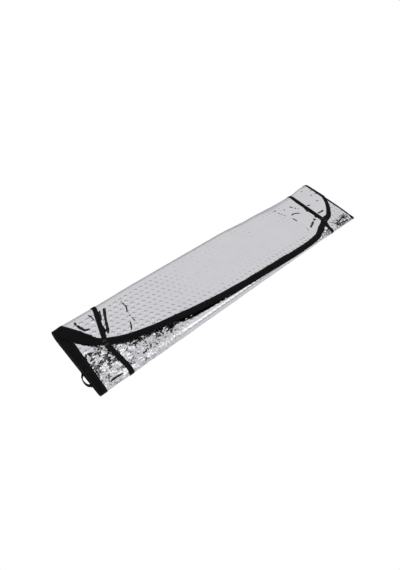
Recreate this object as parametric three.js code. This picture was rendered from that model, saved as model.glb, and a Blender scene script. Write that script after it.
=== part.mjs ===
// Windscreen sunshade of foil-faced bubble sheet, rolled flat and held by two elastic straps.
// Millimetres. X runs along the packet, Y from its front fold to its back fold, Z up.
// The origin is on the table, under the middle of the packet.
import * as THREE from "three";

// Packet
const PACKET_LENGTH = 670; // over the binding at both ends
const PACKET_WIDTH = 150; // over the bare folds
const CLEAR = 0.3; // free space between any two pieces
const STEM = 8.6; // bare inner end of the sheet, from the innermost front fold's centre

// Foil sheet
const SHEET = 1.3;
const LEVELS = 9; // places for a turn, the middle one stays empty
const CORNER_ROUNDS = 2; // facets along each span of the curved edge

// Edge binding, a folded tape that grips the sheet's edge from both sides
const TAPE = 0.3;
const COVER = 12.5; // how far the tape reaches in from the edge
const CORNER_COVER = 19; // at the flap's left back corner
const WIDEST_COVER = 20.5; // just past that corner
const LOW_COVER = 10.5; // at the left end, on the turn's front fold under the flap
const RIGHT_COVER = 8; // where the flap's curved edge meets the right end
const NARROW_COVER = 4.5; // along the rest of the right end

// Straps
const STRAP_WIDTH = 8.5;
const STRAP = 0.8;

// Hanging loop, a narrow ribbon on edge at the left end
const LOOP_SPAN = 23;
const LOOP_REACH = 4;
const LOOP_RIBBON = 7;
const LOOP_THICKNESS = 1.6;
const LOOP_FOOT = 2.5;
const LOOP_INSET = 27.5; // its middle, from the front folds' centre line
const LOOP_Z = 3;

// How far the packet is pressed together under the straps, and how far it swells between them
const PRESSED_LEFT = 0.97;
const PRESSED_RIGHT = 0.82;
const SWOLLEN = 1.12;
const PRESSED_HALF = 20; // half the length that a strap keeps evenly pressed

// Share of the height that is left along the front folds and the back folds
const FRONT_HEIGHT = 0.9; // the front folds, between the straps
const STRAP_HEIGHT = 0.67; // both, at the right strap
const CORNER_HEIGHT = 0.35; // the front folds at the right end
const TAIL_HEIGHT = 0.92; // the back folds there
const HEAD_HEIGHT = 0.9; // and the back folds at the left end

// How far the turns have slid along the packet at its ends
const SLID_LEFT = 2.2;
const SLID_RIGHT = 7; // at the front folds
const SLID_LENGTH = 60; // length over which it grows

// Sizes that follow
const SKIN = SHEET / 2 + CLEAR; // from the sheet's middle to the tape's inner face
const CRUST = SKIN + TAPE; // and to its outer face
const PITCH = 2 * CRUST + CLEAR; // from one turn to the next
const TOP = LEVELS - 1;
const END = PACKET_LENGTH / 2 - CLEAR - TAPE; // bare end of the sheet
const BACK = PACKET_WIDTH / 2 - SHEET / 2 - (TOP / 2) * PITCH; // centre line of the back folds
const FRONT = SHEET / 2 + ((TOP - 1) / 2) * PITCH - PACKET_WIDTH / 2; // and of the front folds
const INNER_END = FRONT + STEM;

// Where each strap crosses the back fold, the curved edge and the front fold
const LEFT_STRAP = { back: -END + 75, seam: [-END + 51, FRONT + 55], front: -END + 54 };
const RIGHT_STRAP = { back: END - 59, seam: [END - 75, FRONT + 25], front: END - 90 };

// The flap's curved edge. Across the packet it is measured along the sheet, so that what lies
// in front of FRONT hangs down over the front fold.
const flapEdge = new THREE.SplineCurve(
  [
    [-END, BACK - 6],
    [-END + 5, BACK - 14],
    [-END + 13, BACK - 30],
    [-END + 28, FRONT + 75],
    [-END + 53, FRONT + 51],
    [-END + 94, FRONT + 31],
    [-END + 159, FRONT + 14],
    [-100, FRONT + 1],
    [-40, FRONT - 5.5],
    [20, FRONT - 9],
    [80, FRONT - 11],
    [END - 184, FRONT - 12],
    [END - 138, FRONT - 8.5],
    [END - 114, FRONT],
    [END - 84, FRONT + 13],
    [END - 64, FRONT + 20.5],
    [END - 44, FRONT + 27],
    [END - 17, FRONT + 51],
    [END, FRONT + 78],
  ].map(([x, u]) => new THREE.Vector2(x, u)),
);
const columns = flapEdge.getPoints(CORNER_ROUNDS * (flapEdge.points.length - 1));

// Pressing along the packet: how much the gaps between turns shrink, how far the lowest turn is
// raised, and the share of the height that is left at the front folds and at the back folds
const TAPE_LIFT = CLEAR + TAPE;
const STRAP_LIFT = CLEAR + STRAP;
const leftMiddle = (LEFT_STRAP.back + LEFT_STRAP.front) / 2;
const rightMiddle = (RIGHT_STRAP.back + RIGHT_STRAP.front) / 2;
const crushed = (STRAP_HEIGHT + CORNER_HEIGHT) / 2;
const swollen = [2 * PRESSED_HALF, SWOLLEN, 0, FRONT_HEIGHT, 1];
const held = [rightMiddle - PRESSED_HALF, PRESSED_RIGHT, STRAP_LIFT, STRAP_HEIGHT, STRAP_HEIGHT];
const pressing = [
  [-END, 1, TAPE_LIFT, 1, HEAD_HEIGHT],
  [-END + COVER + 6, 1, TAPE_LIFT, 1, 1],
  [leftMiddle - PRESSED_HALF, PRESSED_LEFT, STRAP_LIFT, FRONT_HEIGHT, 1],
  [leftMiddle + PRESSED_HALF, PRESSED_LEFT, STRAP_LIFT, FRONT_HEIGHT, 1],
  [leftMiddle + 5 * PRESSED_HALF, SWOLLEN, 0, FRONT_HEIGHT, 1],
  swollen,
  swollen.map((value, k) => (value + held[k]) / 2),
  held,
  [rightMiddle + PRESSED_HALF, PRESSED_RIGHT, STRAP_LIFT, crushed, STRAP_HEIGHT],
  [END - COVER - 6, 1, TAPE_LIFT, CORNER_HEIGHT, TAIL_HEIGHT],
  [END, 1, TAPE_LIFT, CORNER_HEIGHT, TAIL_HEIGHT],
];

// Index of the span of a rising list that holds x
function spanOf(list, x) {
  const after = list.findIndex((value) => value > x);
  return after < 0 ? list.length - 2 : Math.max(after - 1, 0);
}

function pressingAt(x) {
  const i = spanOf(pressing.map(([at]) => at), x);
  const [x0, ...before] = pressing[i];
  const [x1, ...after] = pressing[i + 1];
  const t = THREE.MathUtils.smoothstep(x, x0, x1);
  return before.map((value, k) => THREE.MathUtils.lerp(value, after[k], t));
}

const columnX = columns.map((column) => column.x);
const columnPressing = columnX.map(pressingAt);

// The same pressing, straight from one column of the sheet to the next, for all that lies on it
function pressedAt(x) {
  const i = spanOf(columnX, x);
  const t = (x - columnX[i]) / (columnX[i + 1] - columnX[i]);
  return columnPressing[i].map((value, k) => THREE.MathUtils.lerp(value, columnPressing[i + 1][k], t));
}

// How far the sheet has slid towards the left at x, at this share of the way to the back folds
function slid(x, across) {
  const left = THREE.MathUtils.clamp((-END + SLID_LENGTH - x) / SLID_LENGTH, 0, 1);
  const right = THREE.MathUtils.clamp((x - END + SLID_LENGTH) / SLID_LENGTH, 0, 1);
  return left * SLID_LEFT + right * SLID_RIGHT * (1 - across) ** 3;
}

// The roll's middle line as straights and folds, from the flap inwards
const UNDER_ROWS = 8; // facets across the turn under the flap
const INNER_ROWS = 5; // and across the last turn
const rightAngle = Math.PI / 2;
const roll = [];
const rows = []; // distances along the sheet at which it is faceted

function addStraight(level, from, to, start, facets = 1) {
  const sign = Math.sign(to - from);
  const length = Math.abs(to - from);
  const at = (s) => [from + sign * s, level * PITCH, 0, sign];
  roll.push({ start, length, at });
  for (let k = 1; k < facets; k++) rows.push(start + (length * k) / facets);
  return start + length;
}

function addFold(centreY, centreLevel, radius, angle, start, facets) {
  const length = Math.PI * radius;
  const at = (s) => {
    const a = angle - s / radius;
    const [c, n] = [Math.cos(a), Math.sin(a)];
    return [centreY + radius * c, centreLevel * PITCH + radius * n, c, n];
  };
  roll.push({ start, length, at });
  for (let k = 0; k < facets; k++) rows.push(start + (length * k) / facets);
  return start + length;
}

function layRoll() {
  const hang = (TOP + 1) / 2; // level steps from the front folds' centre to the flap
  const overhang = { start: -Infinity, length: 0 };
  overhang.at = (u) => {
    const a = (FRONT - u) / (hang * PITCH);
    const [s, c] = [Math.sin(a), Math.cos(a)];
    return [FRONT - hang * PITCH * s, ((TOP - 1) / 2 + hang * c) * PITCH, -s, c];
  };
  roll.push(overhang);
  let u = addStraight(TOP, FRONT, BACK, FRONT);
  for (let turn = 0; turn < TOP / 2; turn++) {
    const outer = TOP / 2 - turn;
    u = addFold(BACK, TOP / 2, outer * PITCH, rightAngle, u, turn === 0 ? 12 : 6);
    rows.push(u);
    if (outer === 1) {
      u = addStraight(turn, BACK, INNER_END, u, INNER_ROWS);
      rows.push(u);
      break;
    }
    u = addStraight(turn, BACK, FRONT, u);
    u = addFold(FRONT, (TOP - 1) / 2, (outer - 0.5) * PITCH, -rightAngle, u, turn === 0 ? 10 : 6);
    rows.push(u);
    u = addStraight(TOP - 1 - turn, FRONT, BACK, u, turn === 0 ? UNDER_ROWS : 1);
  }
  return u;
}
const SHEET_END = layRoll();

// Point of the object at x, at distance u along the sheet and off its middle, outwards positive
function place(x, u, off) {
  const part = roll.findLast((piece) => piece.start <= u);
  const [y, z, outY, outZ] = part.at(part.start === -Infinity ? u : u - part.start);
  const [scale, lift, front, back] = pressedAt(x);
  const size = Math.hypot(outY * scale, outZ);
  const placedY = y + (off * outY * scale) / size;
  const height = z * scale + SHEET / 2 + (off * outZ) / size;
  const across = THREE.MathUtils.clamp((placedY - FRONT) / (BACK - FRONT), 0, 1);
  const pressed = height * THREE.MathUtils.lerp(front, back, across);
  return [x - slid(x, across), placedY, lift + pressed];
}

// Closed mesh from points and four-cornered faces
function meshOf(name, points, faces, material) {
  const index = faces.flatMap(([a, b, c, d]) => [a, b, c, a, c, d]);
  const geometry = new THREE.BufferGeometry();
  geometry.setAttribute("position", new THREE.Float32BufferAttribute(points.flat(), 3));
  geometry.setIndex(index);
  geometry.computeVertexNormals();
  const mesh = new THREE.Mesh(geometry, material);
  mesh.name = name;
  return mesh;
}

// Ring with one closed section, turned faces are cut along their other diagonal
function ringMesh(name, sections, material, isTurned = () => false) {
  const around = sections[0].length;
  const vertex = (k, m) => (k % sections.length) * around + (m % around);
  const faces = sections.flatMap((section, k) =>
    section.map((point, m) => {
      const [a, b] = [vertex(k, m), vertex(k + 1, m)];
      const [c, d] = [vertex(k + 1, m + 1), vertex(k, m + 1)];
      return isTurned(m) ? [b, c, d, a] : [a, b, c, d];
    }),
  );
  return meshOf(name, sections.flat(), faces, material);
}

const foil = new THREE.MeshStandardMaterial({ color: 0xc9c8cb, metalness: 0.9, roughness: 0.32 });
const blackTape = new THREE.MeshStandardMaterial({ color: 0x151515, metalness: 0, roughness: 0.85 });
const elastic = new THREE.MeshStandardMaterial({ color: 0x121212, metalness: 0, roughness: 0.9 });

// Rows along the curved edge, at these depths from it, then at these shares of the rest of the
// flap, come before the rows of the folds
const edgeDepths = [0, COVER / 3, (2 * COVER) / 3, COVER, COVER + 3];
const flapShares = [0.25, 0.5, 0.75];
const FLAP_ROWS = edgeDepths.length + flapShares.length;
const EDGE_STEP = 0.2; // least space that is kept between two rows where the folds begin

function rowAt(edge, j) {
  const left = FLAP_ROWS - j;
  if (left <= 0) return rows[-left];
  const inner = edge + edgeDepths.at(-1);
  const share = flapShares[j - edgeDepths.length];
  const at = share ? THREE.MathUtils.lerp(inner, BACK, share) : edge + edgeDepths[j];
  return Math.min(at, BACK - left * EDGE_STEP);
}

function makeSheet() {
  const across = FLAP_ROWS + rows.length;
  const points = [];
  for (const off of [SHEET / 2, -SHEET / 2])
    for (const column of columns)
      for (let j = 0; j < across; j++) points.push(place(column.x, rowAt(column.y, j), off));
  const top = (i, j) => i * across + j;
  const under = (i, j) => (columns.length + i) * across + j;
  const faces = [];
  const lastRow = across - 1;
  const lastColumn = columns.length - 1;
  for (let i = 0; i < lastColumn; i++) {
    for (let j = 0; j < lastRow; j++) {
      faces.push([top(i, j), top(i + 1, j), top(i + 1, j + 1), top(i, j + 1)]);
      faces.push([under(i, j), under(i, j + 1), under(i + 1, j + 1), under(i + 1, j)]);
    }
    faces.push([under(i, 0), under(i + 1, 0), top(i + 1, 0), top(i, 0)]);
    faces.push([top(i, lastRow), top(i + 1, lastRow), under(i + 1, lastRow), under(i, lastRow)]);
  }
  for (let j = 0; j < lastRow; j++) {
    faces.push([under(0, j + 1), under(0, j), top(0, j), top(0, j + 1)]);
    faces.push([top(lastColumn, j + 1), top(lastColumn, j), under(lastColumn, j), under(lastColumn, j + 1)]);
  }
  return meshOf("foil_sheet", points, faces, foil);
}

// The sheet's edge all the way round, laid flat: x along the packet, u along the sheet
function sheetOutline() {
  const along = (edge) => rows.filter((u) => u > edge && u < SHEET_END);
  return [
    ...columns.map((column) => [column.x, column.y]),
    ...along(columns.at(-1).y).map((u) => [END, u]),
    [END, SHEET_END],
    ...columnX.slice(1, -1).reverse().map((x) => [x, SHEET_END]),
    [-END, SHEET_END],
    ...along(columns[0].y).reverse().map((u) => [-END, u]),
  ];
}

// How far the tape reaches in, along the curved edge by x and along each end by the distance u
const secondTurn = roll[5].start; // where the turn under the flap leaves the front fold
const curveCover = [
  [-END, CORNER_COVER],
  [-END + COVER, WIDEST_COVER],
  [-END + 2 * CORNER_COVER, COVER],
  [END - 5 * COVER, COVER],
  [END - 3.5 * COVER, COVER - 1.5],
  [END, RIGHT_COVER],
];
const leftCover = [
  [BACK, CORNER_COVER],
  [BACK + 2 * COVER, COVER],
  [secondTurn - 3 * COVER, COVER],
  [secondTurn, LOW_COVER],
  [secondTurn + 7 * COVER, COVER + 3],
];
const rightCover = [
  [columns.at(-1).y, RIGHT_COVER],
  [BACK + CORNER_COVER, NARROW_COVER],
];

// Value of a list of [place, value] at x, even beyond its ends
function valueAt(list, x) {
  const i = spanOf(list.map(([at]) => at), x);
  const [x0, before] = list[i];
  const [x1, after] = list[i + 1];
  return THREE.MathUtils.lerp(before, after, THREE.MathUtils.clamp((x - x0) / (x1 - x0), 0, 1));
}

function coverAt(point, isCurved) {
  if (isCurved) return valueAt(curveCover, point.x);
  if (point.x === END) return valueAt(rightCover, point.y);
  return point.x === -END ? valueAt(leftCover, point.y) : COVER;
}

function makeBinding() {
  const outline = sheetOutline().map(([x, u]) => new THREE.Vector2(x, u));
  const shares = [1 / 3, 2 / 3, 1];
  const outer = [[-CLEAR - TAPE, 0], ...shares.map((share) => [0, share])];
  const inner = [...shares.toReversed().map((share) => [0, share]), [-CLEAR, 0]];
  const profile = [
    ...outer.map((d) => [...d, CRUST]),
    ...inner.map((d) => [...d, SKIN]),
    ...inner.toReversed().map((d) => [...d, -SKIN]),
    ...outer.toReversed().map((d) => [...d, -CRUST]),
  ];
  const inward = (a, b) => {
    const side = new THREE.Vector2(a.y - b.y, b.x - a.x);
    return side.normalize();
  };
  const sections = outline.map((point, k) => {
    const before = inward(outline.at(k - 1), point);
    const after = inward(point, outline[(k + 1) % outline.length]);
    const mitre = before.clone().add(after).divideScalar(1 + before.dot(after));
    const cover = coverAt(point, k < columns.length);
    return profile.map(([past, share, off]) => {
      const depth = past + share * cover;
      return place(point.x + mitre.x * depth, point.y + mitre.y * depth, off);
    });
  });
  const reach = profile.map(([past, share]) => past + share);
  const goesOut = (m) => reach[m] > reach[(m + 1) % profile.length];
  return ringMesh("edge_binding", sections, blackTape, goesOut);
}

// Convex outline of points in the YZ plane, counter-clockwise seen from +X
function hullOf(points) {
  const sorted = points.toSorted((a, b) => a.x - b.x || a.y - b.y);
  const half = (list) => {
    const chain = [];
    for (const p of list) {
      while (chain.length > 1) {
        const [a, b] = chain.slice(-2);
        if ((b.x - a.x) * (p.y - a.y) - (b.y - a.y) * (p.x - a.x) > 1e-6) break;
        chain.pop();
      }
      chain.push(p);
    }
    return chain.slice(0, -1);
  };
  return [...half(sorted), ...half(sorted.toReversed())];
}

// All that a strap lies on, cut across the packet between x0 and x1
function packetSection(x0, x1) {
  const points = [];
  for (const x of [x0, (x0 + x1) / 2, x1, ...columnX.filter((at) => at > x0 && at < x1)]) {
    const i = spanOf(columnX, x);
    const t = (x - columnX[i]) / (columnX[i + 1] - columnX[i]);
    const edge = THREE.MathUtils.lerp(columns[i].y, columns[i + 1].y, t);
    for (const u of rows) points.push(place(x, u, SHEET / 2));
    for (const depth of edgeDepths) points.push(place(x, edge + depth, CRUST));
  }
  return points.map(([, y, z]) => new THREE.Vector2(y, z));
}

// Place of the strap's middle line along the packet, over and under it
function strapX(strap, y, above) {
  const [seamX, seamY] = strap.seam;
  const t = (y - FRONT) / (BACK - FRONT);
  if (!above) return THREE.MathUtils.lerp(strap.front, strap.back, THREE.MathUtils.clamp(t, 0, 1));
  if (y < seamY) return THREE.MathUtils.mapLinear(Math.max(y, FRONT), FRONT, seamY, strap.front, seamX);
  return THREE.MathUtils.mapLinear(Math.min(y, BACK), seamY, BACK, seamX, strap.back);
}

function makeStrap(name, strap) {
  const reach = [strap.back, strap.seam[0], strap.front];
  const [x0, x1] = [Math.min(...reach) - STRAP_WIDTH / 2, Math.max(...reach) + STRAP_WIDTH / 2];
  const hull = hullOf(packetSection(x0, x1));
  const seam = new THREE.Vector2(strap.seam[1], 0);
  const middle = hull.reduce((sum, p) => sum + p.y, 0) / hull.length;
  const path = hull.flatMap((p, k) => {
    const next = hull[(k + 1) % hull.length];
    const crosses = p.y > middle && (p.x - seam.x) * (next.x - seam.x) < 0;
    return crosses ? [p, p.clone().lerp(next, (seam.x - p.x) / (next.x - p.x))] : [p];
  });
  const sections = path.map((p, k) => {
    const ahead = path[(k + 1) % path.length].clone().sub(p).normalize();
    const behind = p.clone().sub(path.at(k - 1)).normalize();
    const mitre = ahead.add(behind).divideScalar(1 + ahead.dot(behind) || 1);
    const out = new THREE.Vector2(mitre.y, -mitre.x).normalize();
    const x = strapX(strap, p.x, p.y > middle);
    const at = (side, off) => [x + (side * STRAP_WIDTH) / 2, p.x + out.x * off, p.y + out.y * off];
    return [at(-1, CLEAR + STRAP), at(1, CLEAR + STRAP), at(1, CLEAR), at(-1, CLEAR)];
  });
  return ringMesh(name, sections, elastic);
}

function makeLoop() {
  const wall = -PACKET_LENGTH / 2 - SLID_LEFT - CLEAR;
  const middle = FRONT + LOOP_INSET;
  const half = LOOP_SPAN / 2;
  const outer = wall - LOOP_THICKNESS;
  const outline = new THREE.Shape();
  outline.moveTo(wall, middle + half + LOOP_FOOT);
  outline.lineTo(outer, middle + half + LOOP_FOOT);
  outline.lineTo(outer, middle + half);
  outline.absellipse(outer, middle, LOOP_REACH, half, rightAngle, 3 * rightAngle, false);
  outline.lineTo(outer, middle - half - LOOP_FOOT);
  outline.lineTo(wall, middle - half - LOOP_FOOT);
  outline.lineTo(wall, middle - half + LOOP_THICKNESS);
  outline.absellipse(
    wall, middle, LOOP_REACH, half - LOOP_THICKNESS, 3 * rightAngle, rightAngle, true,
  );
  outline.closePath();
  const ribbon = { depth: LOOP_RIBBON, bevelEnabled: false, curveSegments: 14 };
  const geometry = new THREE.ExtrudeGeometry(outline, ribbon);
  geometry.translate(0, 0, LOOP_Z);
  const mesh = new THREE.Mesh(geometry, elastic);
  mesh.name = "hanging_loop";
  return mesh;
}

const sunshade = new THREE.Group();
sunshade.name = "windscreen_sunshade";
sunshade.add(
  makeSheet(),
  makeBinding(),
  makeStrap("strap_left", LEFT_STRAP),
  makeStrap("strap_right", RIGHT_STRAP),
  makeLoop(),
);

export default sunshade;
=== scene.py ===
"""Looks of the rolled windscreen sunshade: creased bubble foil, woven binding, elastic straps.

Lengths are in millimetres until a mesh is made, and metres in the scene.
"""

import logging
import math
from dataclasses import dataclass, field
from enum import Enum
from functools import cached_property, lru_cache
from typing import Callable, Sequence

import bpy
import numpy as np
from mathutils import Matrix, Vector


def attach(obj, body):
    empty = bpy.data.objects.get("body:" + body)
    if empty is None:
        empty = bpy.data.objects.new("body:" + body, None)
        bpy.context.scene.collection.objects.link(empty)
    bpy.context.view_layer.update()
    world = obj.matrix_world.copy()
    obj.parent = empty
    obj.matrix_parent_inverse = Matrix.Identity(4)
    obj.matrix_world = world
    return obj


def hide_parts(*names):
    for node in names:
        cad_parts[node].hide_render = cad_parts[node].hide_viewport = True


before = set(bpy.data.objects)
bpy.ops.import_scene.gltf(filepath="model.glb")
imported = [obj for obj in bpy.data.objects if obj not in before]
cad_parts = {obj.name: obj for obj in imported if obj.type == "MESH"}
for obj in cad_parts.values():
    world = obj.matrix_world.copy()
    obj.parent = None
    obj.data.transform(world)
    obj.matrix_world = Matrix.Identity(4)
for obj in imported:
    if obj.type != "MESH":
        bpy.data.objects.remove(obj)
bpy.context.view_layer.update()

MM = 0.001
LOG = logging.getLogger("sunshade")
Array = np.ndarray
Pair = tuple[float, float]
Colour = tuple[float, float, float]
Material = bpy.types.Material
Piece = bpy.types.Object


def smooth(value: Array | float, low: float, high: float) -> Array:
    """Smooth step from 0 at low to 1 at high; low may be the larger."""
    t = np.clip((np.asarray(value, float) - low) / (high - low), 0, 1)
    return t * t * (3 - 2 * t)


def spread(start: float, stop: float, step: float) -> Array:
    """Evenly spaced numbers from start to stop, both included, about step apart."""
    return np.linspace(start, stop, max(2, int(round(abs(stop - start) / step)) + 1))


def curve_through(points: Sequence[Pair], parts: int = 24) -> Array:
    """Dense points of a smooth curve through the given ones.

    Args:
        points: Points in the plane, in order.
        parts: Number of short pieces between two of them.

    Returns:
        One row a point, from the first given point to the last.
    """
    p = np.array([points[0], *points, points[-1]], float)
    t = np.linspace(0, 1, parts, endpoint=False)[:, None]
    dense = []
    for a, b, c, d in zip(p[:-3], p[1:-2], p[2:-1], p[3:]):
        cubic = 3 * b - 3 * c + d - a
        square = 2 * a - 5 * b + 4 * c - d
        dense.append(b + 0.5 * t * ((c - a) + t * (square + t * cubic)))
    return np.concatenate([*dense, p[-1:]])


def distances(points: Array) -> Array:
    """How far along the line through the points each of them lies."""
    return np.concatenate([[0], np.cumsum(np.linalg.norm(np.diff(points, axis=0), axis=1))])


def points_at(s: Array, run: Array, points: Array) -> Array:
    """Points at the distances s along a line whose own points lie at the distances run."""
    return np.stack([np.interp(s, run, points[:, k]) for k in (0, 1)], 1)


def evened(ring: Array, times: int) -> Array:
    """Values round a closed line, each averaged with its neighbours that many times."""
    for _ in range(times):
        ring = (np.roll(ring, 1, 0) + 2 * ring + np.roll(ring, -1, 0)) / 4
    return ring


@lru_cache(maxsize=64)
def random_table(seed: int) -> Array:
    """Numbers from -1 to 1 for that seed."""
    return np.random.default_rng(seed).uniform(-1, 1, (256, 256))


@dataclass(frozen=True)
class Noise:
    """Smooth random field over a plane, the same on every run."""

    seed: int
    size: float

    def at(self, x: Array, y: Array) -> Array:
        """Values from -1 to 1 at the points x, y."""
        table = random_table(self.seed)
        fx, fy = np.asarray(x) / self.size + 1000, np.asarray(y) / self.size + 1000
        ix, iy = np.floor(fx).astype(int), np.floor(fy).astype(int)
        tx, ty = smooth(fx - ix, 0, 1), smooth(fy - iy, 0, 1)
        a, b = table[ix % 256, iy % 256], table[(ix + 1) % 256, iy % 256]
        c, d = table[ix % 256, (iy + 1) % 256], table[(ix + 1) % 256, (iy + 1) % 256]
        return (a * (1 - tx) + b * tx) * (1 - ty) + (c * (1 - tx) + d * tx) * ty

    def ridges(self, x: Array, y: Array) -> Array:
        """Sharp-crested folds from 0 in the hollows to 1 on the crests."""
        finer = Noise(self.seed + 1, self.size * 0.47)
        return 1 - np.abs(0.72 * self.at(x, y) + 0.4 * finer.at(x, y)) * 1.7


class Turn(Enum):
    """Turns of the roll that show and carry creases of their own."""

    FLAP = "flap"
    UNDER = "turn under the flap, with its front fold"


@dataclass(frozen=True)
class Span:
    """A straight or a fold of the roll's section.

    For a straight, centre is where it starts and radius is 0; for a fold, centre is its
    centre line and angle where it starts.
    """

    start: float
    length: float
    centre: Pair
    way: float
    radius: float = 0.0
    angle: float = 0.0

    def rows(self, step: float) -> Array:
        """Distances from its start to its end, about step apart."""
        return spread(self.start, self.start + self.length, step)

    def at(self, u: Array) -> tuple[Array, Array, Array, Array]:
        """Place and outward direction, as y, z, y part and z part, at distances u."""
        s = u - self.start
        if self.radius:
            a = self.angle - s / self.radius
            c, n = np.cos(a), np.sin(a)
            return self.centre[0] + self.radius * c, self.centre[1] + self.radius * n, c, n
        still = np.zeros_like(s)
        return self.centre[0] + self.way * s, self.centre[1] + still, still, self.way + still


@dataclass
class Roll:
    """The rolled sheet's middle surface over x, along the packet, and u, along the sheet."""

    length: float = 670.0
    width: float = 150.0
    sheet: float = 1.3
    clear: float = 0.3
    tape: float = 0.3
    strap: float = 0.8
    cover: float = 12.5
    levels: int = 9
    stem: float = 8.6
    pressed_left: float = 0.97
    pressed_right: float = 0.82
    swollen: float = 1.12
    pressed_half: float = 20.0
    press_left: float = 64.5
    press_right: float = 74.5
    past_tape: float = 6.0
    front_height: float = 0.9
    strap_height: float = 0.67
    corner_height: float = 0.35
    end_height: float = 0.92
    head_height: float = 0.9
    slid_left: float = 2.2
    slid_right: float = 7.0
    slid_length: float = 60.0
    spans: list[Span] = field(default_factory=list)
    relief: Callable[[Array, Array], Array] | None = None

    def __post_init__(self) -> None:
        """Work out the sizes that follow, and lay the spans."""
        self.skin = self.sheet / 2 + self.clear
        self.crust = self.skin + self.tape
        self.pitch = 2 * self.crust + self.clear
        self.top = self.levels - 1
        self.end = self.length / 2 - self.clear - self.tape
        self.back = self.width / 2 - self.sheet / 2 - self.top / 2 * self.pitch
        self.front = self.sheet / 2 + (self.top - 1) / 2 * self.pitch - self.width / 2
        self.lay_spans()
        self.edge_line = self.make_edge()

    def lay_spans(self) -> None:
        """List the straights and folds from the flap inwards."""
        p, flat = self.pitch, self.back - self.front
        hang = (self.top + 1) / 2 * p
        middle = (self.top - 1) / 2 * p
        self.spans = [Span(self.front, 0, (self.front, middle), 1, hang, math.pi / 2)]
        self.spans.append(Span(self.front, flat, (self.front, self.top * p), 1))
        u = self.back
        for turn in range(self.top // 2):
            outer = self.top / 2 - turn
            centre = (self.back, self.top / 2 * p)
            self.spans.append(Span(u, math.pi * outer * p, centre, 1, outer * p, math.pi / 2))
            u += math.pi * outer * p
            innermost = outer == 1
            low = Span(u, flat - self.stem if innermost else flat, (self.back, turn * p), -1)
            self.spans.append(low)
            u += low.length
            if innermost:
                break
            radius = (outer - 0.5) * p
            self.spans.append(
                Span(u, math.pi * radius, (self.front, middle), 1, radius, -math.pi / 2)
            )
            u += math.pi * radius
            self.spans.append(Span(u, flat, (self.front, (self.top - 1 - turn) * p), 1))
            u += flat
        self.last = u

    @property
    def second(self) -> float:
        """Distance along the sheet where the turn under the flap starts, at the front fold."""
        return self.spans[5].start

    def make_edge(self) -> Array:
        """The flap's curved edge as dense points of x and u."""
        e, f, b = self.end, self.front, self.back
        return curve_through(
            [
                (-e, b - 6),
                (-e + 5, b - 14),
                (-e + 13, b - 30),
                (-e + 28, f + 75),
                (-e + 53, f + 51),
                (-e + 94, f + 31),
                (-e + 159, f + 14),
                (-100, f + 1),
                (-40, f - 5.5),
                (20, f - 9),
                (80, f - 11),
                (e - 184, f - 12),
                (e - 138, f - 8.5),
                (e - 114, f),
                (e - 84, f + 13),
                (e - 64, f + 20.5),
                (e - 44, f + 27),
                (e - 17, f + 51),
                (e, f + 78),
            ]
        )

    def edge(self, x: Array) -> Array:
        """Where the flap's edge lies along the sheet, at x."""
        return np.interp(x, self.edge_line[:, 0], self.edge_line[:, 1])

    def pressing(self, x: Array) -> Array:
        """How the roll is pressed at x.

        Args:
            x: Distances along the packet.

        Returns:
            Rows of: share of the gaps between turns, how far the lowest turn is raised,
            share of the height that is left at the front folds, and at the back folds.
        """
        e, half, reach = self.end, self.pressed_half, 5 * self.pressed_half
        left, right = -e + self.press_left, e - self.press_right
        past = self.cover + self.past_tape
        on_tape, on_strap = self.clear + self.tape, self.clear + self.strap
        front, strap = self.front_height, self.strap_height
        corner, tail = self.corner_height, self.end_height
        swollen = (2 * half, self.swollen, 0, front, 1)
        held = (right - half, self.pressed_right, on_strap, strap, strap)
        knots = np.array(
            [
                (-e, 1, on_tape, 1, self.head_height),
                (-e + past, 1, on_tape, 1, 1),
                (left - half, self.pressed_left, on_strap, front, 1),
                (left + half, self.pressed_left, on_strap, front, 1),
                (left + reach, self.swollen, 0, front, 1),
                swollen,
                np.add(swollen, held) / 2,
                held,
                (right + half, self.pressed_right, on_strap, (strap + corner) / 2, strap),
                (e - past, 1, on_tape, corner, tail),
                (e, 1, on_tape, corner, tail),
            ]
        )
        at = knots[:, 0]
        x = np.clip(x, -e, e)
        i = np.clip(np.searchsorted(at, x, side="right") - 1, 0, len(at) - 2)
        t = smooth((x - at[i]) / (at[i + 1] - at[i]), 0, 1)
        return (knots[i, 1:] + t[:, None] * (knots[i + 1, 1:] - knots[i, 1:])).T

    def place(self, x: Array, u: Array, off: Array | float = 0.0) -> Array:
        """Points of the object.

        Args:
            x: Distances along the packet.
            u: Distances along the sheet.
            off: Distance from the sheet's middle, outwards positive.

        Returns:
            One row a point, in millimetres.
        """
        x, u = (np.asarray(a, float).ravel() for a in np.broadcast_arrays(x, u))
        y, z, out_y, out_z = (np.zeros_like(u) for _ in range(4))
        starts = np.array([span.start for span in self.spans[1:]])
        index = np.searchsorted(starts, u, side="right")
        for k, span in enumerate(self.spans):
            here = index == k
            if here.any():
                y[here], z[here], out_y[here], out_z[here] = span.at(u[here])
        scale, lift, front, back = self.pressing(x)
        out_y = out_y * scale
        size = np.hypot(out_y, out_z)
        off = np.broadcast_to(np.asarray(off, float).ravel(), x.shape)
        if self.relief is not None:
            off = off + self.relief(x, u)
        y = y + off * out_y / size
        height = z * scale + self.sheet / 2 + off * out_z / size
        across = np.clip((y - self.front) / (self.back - self.front), 0, 1)
        left = np.clip((-self.end + self.slid_length - x) / self.slid_length, 0, 1)
        right = np.clip((x - self.end + self.slid_length) / self.slid_length, 0, 1)
        shift = left * self.slid_left
        shift += right * self.slid_right * (1 - across) ** 3
        raised = np.maximum(lift + height * (front + across * (back - front)), 0)
        return np.stack([x - shift, y, raised], 1)


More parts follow.
